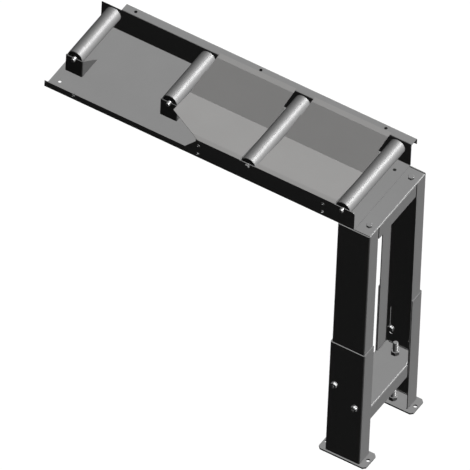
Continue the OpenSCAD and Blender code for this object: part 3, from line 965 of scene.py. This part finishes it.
@dataclass
class JackSet(Maker):
    """The jack rods with their real thread, and the nuts on them."""

    size: Thread = M16

    def rods(self) -> None:
        """The two rods."""
        solids = solids_of("jack_rods")
        rod = self.bench.threaded(self.size, 0.0, solids[0].span(Way.UP))
        self.put(self.bench.stand(rod, solids, Way.UP), "jack_rods", "with_threads")
        self.scrap(rod)

    def build(self) -> None:
        """Builds the rods and their six nuts."""
        self.rods()
        self.nuts(self.size, Way.UP, ("jack_base_nuts", "jack_nuts_upper", "jack_nuts_lower"))


@dataclass
class DeckSet(Maker):
    """The bolts ready for the next conveyor, the tray's screws and the nuts under the head channel."""

    size: Thread = M10
    plain: float = 2 * MM
    deck_size: Thread = M6
    deck_head: float = 10.9 * MM
    sheet: float = 2 * MM
    socket_flats: float = 4 * MM
    socket_depth_share: float = 1.5

    def extension(self) -> None:
        """The two hexagon bolts in the head channel."""
        solids = solids_of("extension_bolts")
        bolt = self.bench.bolt(self.size, solids[0].span(Way.UP) - self.size.head, self.plain)
        self.put([self.bench.copy(bolt, s.end(Way.UP, self.size.head), Way.UP) for s in solids],
                 "extension_bolts", "with_threads")
        self.scrap(bolt)

    def flush(self) -> None:
        """The two countersunk socket screws that hold the tray."""
        solids = solids_of("deck_screws")
        head = self.bench.turned("deck_screw", [
            (self.deck_size.diameter / 2, -self.sheet), (self.deck_head / 2, 0.0)])
        socket = self.bench.prism("deck_socket", self.socket_flats, self.sheet * self.socket_depth_share, 0.0)
        self.bench.combine(head, socket, Cut.AWAY)
        thread = self.bench.thread_below(self.deck_size, self.sheet, solids[0].span(Way.UP))
        screw = self.bench.join([head, thread], "deck_screw")
        self.put([self.bench.copy(screw, s.end(Way.UP), Way.UP) for s in solids],
                 "deck_screws", "with_sockets")
        self.scrap(screw)

    def build(self) -> None:
        """Builds every fastener at the head channel."""
        self.extension()
        self.nuts(self.size, Way.UP, ("extension_nuts",))
        self.flush()
        self.nuts(self.deck_size, Way.UP, ("deck_nuts",))


@dataclass
class WallSet(Maker):
    """The round-head screws in the front wall and the nuts behind them."""

    size: Thread = M5
    head_radius: float = 4.75 * MM
    head: float = 2.8 * MM
    rim_share: float = 0.45
    socket_flats: float = 3 * MM
    dome_turn: float = math.radians(78.0)
    dome_steps: int = 7
    sides: int = 32

    def screw(self, length: float) -> bpy.types.Object:
        """Makes one screw with a domed head and a hexagon socket.

        Args:
            length: Length of the shank.

        Returns:
            The screw, with its head above z = 0.
        """
        rim = self.head * self.rim_share
        rings = [(self.head_radius, 0.0)]
        for step in range(self.dome_steps + 1):
            turn = self.dome_turn * step / self.dome_steps
            rings.append((self.head_radius * math.cos(turn), rim + (self.head - rim) * math.sin(turn)))
        head = self.bench.turned("wall_screw", rings, self.sides)
        socket = self.bench.prism("wall_socket", self.socket_flats, self.head, self.head)
        self.bench.combine(head, socket, Cut.AWAY)
        return self.bench.join([head, self.bench.thread_below(self.size, 0.0, length)], "wall_screw")

    def build(self) -> None:
        """Builds the five screws, each of its own length, and their nuts."""
        copies = []
        for solid in solids_of("wall_screws"):
            screw = self.screw(solid.span(Way.FRONT) - self.head)
            copies.append(self.bench.copy(screw, solid.end(Way.FRONT, self.head), Way.FRONT))
            self.scrap(screw)
        self.put(copies, "wall_screws", "domed")
        self.nuts(self.size, Way.BACK, ("wall_nuts",))


@dataclass
class AxleSet(Maker):
    """The hexagon screws with washers in the axle ends."""

    size: Thread = M8
    plain: float = 4 * MM
    washer_radius: float = 8.5 * MM
    washer_height: float = 1.6 * MM
    rounding: float = 0.25 * MM

    def screw(self, length: float) -> bpy.types.Object:
        """Makes one screw with its washer under the head.

        Args:
            length: From the washer's seat to the screw's end.

        Returns:
            The screw, with the washer's seat at z = 0.
        """
        bolt = self.bench.bolt(self.size, length + self.washer_height, self.plain)
        bolt.data.transform(Matrix.Translation((0.0, 0.0, self.washer_height)))
        washer = self.bench.disc("axle_washer", self.washer_radius, self.washer_height, self.rounding)
        return self.bench.join([bolt, washer], "axle_screw")

    def build(self) -> None:
        """Builds the screws behind and the one in front."""
        stack = self.size.head + self.washer_height
        for node in ("axle_screws_rear", "axle_screw_front"):
            solids = solids_of(node)
            screw = self.screw(solids[0].span(Way.BACK) - stack)
            self.put([self.bench.copy(screw, s.end(s.outward, stack), s.outward) for s in solids],
                     node, "with_threads")
            self.scrap(screw)


@dataclass
class RollerSeals(Maker):
    """The rubber seals in the faces of the roller bearings."""

    rollers: int = 4
    inner: float = 9.1 * MM
    outer: float = 12.9 * MM
    depth: float = 0.6 * MM
    proud: float = 0.15 * MM
    land_share: float = 0.2
    slope_share: float = 0.3
    sides: int = 56

    def seal(self) -> bpy.types.Object:
        """Makes one dished seal with a raised lip, its face above z = 0.

        Returns:
            The seal.
        """
        face = -self.proud
        dish = face - self.proud
        lip = face + self.proud / 2
        land = (self.outer - self.inner) * self.land_share
        slope = (self.outer - self.inner) * self.slope_share
        disc = self.bench.turned("seal", [
            (self.outer, -self.depth), (self.outer, face), (self.outer - land, face),
            (self.outer - slope, dish), (self.inner + slope, dish), (self.inner + land, lip),
            (self.inner, lip)], self.sides)
        drill = self.bench.turned(
            "seal_drill", [(self.inner, -2 * self.depth), (self.inner, self.depth)], self.sides)
        return self.bench.combine(disc, drill, Cut.AWAY)

    def build(self) -> None:
        """Builds two seals for each roller."""
        seal = self.seal()
        for number in range(1, self.rollers + 1):
            rings = solids_of(f"bearings_{number}")
            copies = [self.bench.copy(seal, rings[0].end(Way.FRONT), Way.FRONT),
                      self.bench.copy(seal, rings[-1].end(Way.BACK), Way.BACK)]
            self.add(copies, f"bearing_seals_{number}", f"roller_{number}", "bearing_steel", "seal_rubber")
        self.scrap(seal)


@dataclass
class Welds(Maker):
    """Rippled weld beads where legs, shelf and roller stands are welded on."""

    bead: float = 2.6 * MM
    ripple: float = 2.2 * MM
    sides: int = 10
    neck_share: float = 0.86
    swell: float = 1.14
    ripple_shares: tuple[float, float, float] = (0.3, 0.3, 0.4)
    leg_sheet: float = 3 * MM
    web_margin: float = 9 * MM
    flange_margin: float = 6 * MM
    shelf_half: float = 40 * MM
    stand_sheet: float = 2.5 * MM
    stand_margin: float = 10 * MM

    def run(self, start: Point, end: Point) -> bpy.types.Object:
        """Makes one bead as a rippled rod between two points.

        Args:
            start: Its first end.
            end: Its other end.

        Returns:
            The bead, in place.
        """
        reach = Vector(end) - Vector(start)
        self.bench.clear()
        bpy.ops.mesh.primitive_circle_add(vertices=self.sides, radius=self.bead * self.neck_share,
                                          fill_type="NOTHING")
        piece = self.bench.begin("weld")
        for grow, share in zip((self.swell, 1.0, 1 / self.swell), self.ripple_shares):
            bpy.ops.mesh.extrude_region_move(
                TRANSFORM_OT_translate={"value": (0.0, 0.0, share * self.ripple)})
            bpy.ops.transform.resize(value=(grow, grow, 1.0), center_override=(0.0, 0.0, 0.0))
        bpy.ops.object.mode_set(mode="OBJECT")
        row = piece.modifiers.new("row", "ARRAY")
        row.count = max(2, round(reach.length / self.ripple))
        row.use_relative_offset = False
        row.use_constant_offset = True
        row.constant_offset_displace = (0.0, 0.0, self.ripple)
        row.use_merge_vertices = True
        row.merge_threshold = MERGE
        bpy.ops.object.modifier_apply(modifier=row.name)
        bpy.ops.object.mode_set(mode="EDIT")
        bpy.ops.mesh.select_all(action="DESELECT")
        bpy.ops.mesh.select_non_manifold()
        bpy.ops.mesh.edge_face_add()
        self.bench.close()
        piece.data.transform(Matrix.Translation(start) @ turn_to(reach))
        return piece

    def feet(self) -> None:
        """The beads inside the lower legs, along web and flanges."""
        parts = []
        for leg in ("lower_leg_front", "lower_leg_rear"):
            low, high = (Vector(corner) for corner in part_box(leg))
            side, web, tip = (-1.0, low.y, high.y) if low.y < 0 else (1.0, high.y, low.y)
            inner = web - side * self.leg_sheet
            x = high.x - self.leg_sheet
            parts.append(self.run((low.x + self.web_margin, inner, low.z),
                                  (high.x - self.web_margin, inner, low.z)))
            for sign in (-1.0, 1.0):
                parts.append(self.run((sign * x, inner - side * self.flange_margin, low.z),
                                      (sign * x, tip, low.z)))
        self.add(parts, "weld_beads_feet", "lower_frame", "frame_paint")

    def shelf(self) -> None:
        """The beads between the cross shelf and the webs of the upper legs."""
        low, high = (Vector(corner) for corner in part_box("cross_shelf"))
        parts = [self.run((-self.shelf_half, y, high.z), (self.shelf_half, y, high.z))
                 for y in (low.y, high.y)]
        self.add(parts, "weld_beads_shelf", "upper_frame", "frame_paint")

    def stands(self) -> None:
        """The beads inside the roller stands, on the tray's floor."""
        parts = []
        for node in ("roller_stand_1", "roller_stand_2"):
            low, high = (Vector(corner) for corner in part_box(node))
            y = low.y + self.stand_sheet
            parts.append(self.run((low.x + self.stand_margin, y, low.z),
                                  (high.x - self.stand_margin, y, low.z)))
        self.add(parts, "weld_beads_stands", "upper_frame", "stand_paint")

    def build(self) -> None:
        """Builds every bead."""
        self.feet()
        self.shelf()
        self.stands()


@dataclass(frozen=True)
class Lamp:
    """One distant lamp."""

    name: str
    source: Point
    strength: float
    width: float
    diffuse: bool = True
    glossy: bool = True
    shadow: bool = False

    def build(self) -> None:
        """Adds the lamp to the scene."""
        data = bpy.data.lights.new(self.name, "SUN")
        data.energy = self.strength
        data.angle = math.radians(self.width)
        data.use_shadow = self.shadow
        lamp = bpy.data.objects.new(self.name, data)
        bpy.context.scene.collection.objects.link(lamp)
        lamp.rotation_euler = Vector(self.source).to_track_quat("Z", "Y").to_euler()
        lamp.visible_diffuse = self.diffuse
        lamp.visible_glossy = self.glossy


@dataclass(frozen=True)
class Studio:
    """The camera, the lamps, the world and the floor."""

    sight_right: Point = (0.8518, 0.5228, 0.03395)
    sight_up: Point = (-0.3965, 0.6008, 0.6942)
    sight_back: Point = (0.3425, -0.6048, 0.7191)
    tray_corner: Point = (-1.046, -0.155, 0.940)
    view_width: float = 1.3525
    view_right: float = 0.5491
    view_down: float = 0.4276
    distance: float = 3.0
    far_clip: float = 50.0
    lamps: tuple[Lamp, ...] = (
        Lamp("key", (0.235, 0.91, 0.475), 6.75, 12.0, glossy=False),
        Lamp("gloss", (0.534, 0.605, 0.591), 1.5, 4.0, diffuse=False),
        Lamp("side", (-1.0, 0.25, 0.0), 0.15, 30.0, glossy=False),
        Lamp("top", (0.1, 0.15, 1.0), 0.12, 60.0, shadow=True),
    )
    sky_source: Point = (0.9, 0.3, 0.3)
    sky_range: tuple[float, float] = (-0.25, 0.9)
    sky_strength: float = 0.78
    fill_strength: float = 0.021
    floor_size: float = 12.0
    floor_drop: float = 0.5 * MM
    floor_level: float = 0.8
    floor_roughness: float = 0.9
    floor_lift: float = 0.21

    def camera(self) -> None:
        """Puts the parallel camera where the photograph was taken from."""
        right, up, back = Vector(self.sight_right), Vector(self.sight_up), Vector(self.sight_back)
        data = bpy.data.cameras.new("camera")
        data.type = "ORTHO"
        data.ortho_scale = self.view_width
        data.clip_end = self.far_clip
        camera = bpy.data.objects.new("camera", data)
        bpy.context.scene.collection.objects.link(camera)
        place = (Vector(self.tray_corner) + right * self.view_right - up * self.view_down
                 + back * self.distance)
        camera.matrix_world = Matrix.Translation(place) @ Matrix((right, up, back)).transposed().to_4x4()
        bpy.context.scene.camera = camera

    def world(self) -> None:
        """White to the camera, a soft bright sky behind the object to polished metal, faint elsewhere."""
        world = bpy.data.worlds.new("studio")
        bpy.context.scene.world = world
        world.use_nodes = True
        board = NodeBoard(world.node_tree)
        background = world.node_tree.nodes["Background"]
        path = board.add("ShaderNodeLightPath")
        direction = board.add("ShaderNodeTexCoord").outputs["Generated"]
        toward = board.add("ShaderNodeVectorMath", operation="DOT_PRODUCT", in_0=direction,
                           in_1=tuple(Vector(self.sky_source).normalized()))
        sky = board.ramp(toward.outputs["Value"], *self.sky_range, 0.0, self.sky_strength)
        shiny = board.math("MULTIPLY", sky, path.outputs["Is Glossy Ray"])
        plain = board.math("MAXIMUM", shiny, self.fill_strength)
        background.inputs["Color"].default_value = grey(1.0)
        board.feed(background.inputs["Strength"], board.math("MAXIMUM", plain, path.outputs["Is Camera Ray"]))

    def floor(self) -> None:
        """A pale floor that shows white with a faint soft shadow."""
        bpy.ops.object.select_all(action="DESELECT")
        bpy.ops.mesh.primitive_plane_add(size=self.floor_size, location=(0.0, 0.0, -self.floor_drop))
        floor = bpy.context.object
        floor.name = "floor"
        bpy.ops.object.transform_apply(location=True, rotation=True, scale=True)
        material = bpy.data.materials.new("floor_white")
        material.use_nodes = True
        board = NodeBoard(material.node_tree)
        shader = material.node_tree.nodes["Principled BSDF"]
        shader.inputs["Base Color"].default_value = grey(self.floor_level)
        shader.inputs["Roughness"].default_value = self.floor_roughness
        shader.inputs["Specular IOR Level"].default_value = 0.0
        shader.inputs["Emission Strength"].default_value = 1.0
        path = board.add("ShaderNodeLightPath")
        shown = board.math("MULTIPLY", path.outputs["Is Camera Ray"], self.floor_lift)
        board.feed(shader.inputs["Emission Color"], board.blend(shown, grey(0.0), grey(1.0)))
        floor.data.materials.append(material)
        floor.visible_shadow = False

    def calm(self) -> None:
        """Keeps every mesh out of bounced light and reflections, as the photograph has none."""
        for thing in bpy.context.scene.objects:
            if thing.type == "MESH":
                thing.visible_diffuse = False
                thing.visible_glossy = False

    def build(self) -> None:
        """Builds the whole studio."""
        self.camera()
        for lamp in self.lamps:
            lamp.build()
        self.world()
        self.floor()
        self.calm()
        bpy.context.scene.view_settings.view_transform = "Standard"
        LOG.info("studio built")


def main() -> None:
    """Builds the finishes, the pieces and the studio in order."""
    logging.basicConfig(level=logging.INFO, format="%(name)s: %(message)s")
    finishes = Finishes()
    finishes.dress_cad()
    for make in (ClampSet, JackSet, DeckSet, WallSet, AxleSet, RollerSeals, Welds):
        make(finishes).build()
    Studio().build()


if __name__ == "__main__":
    main()
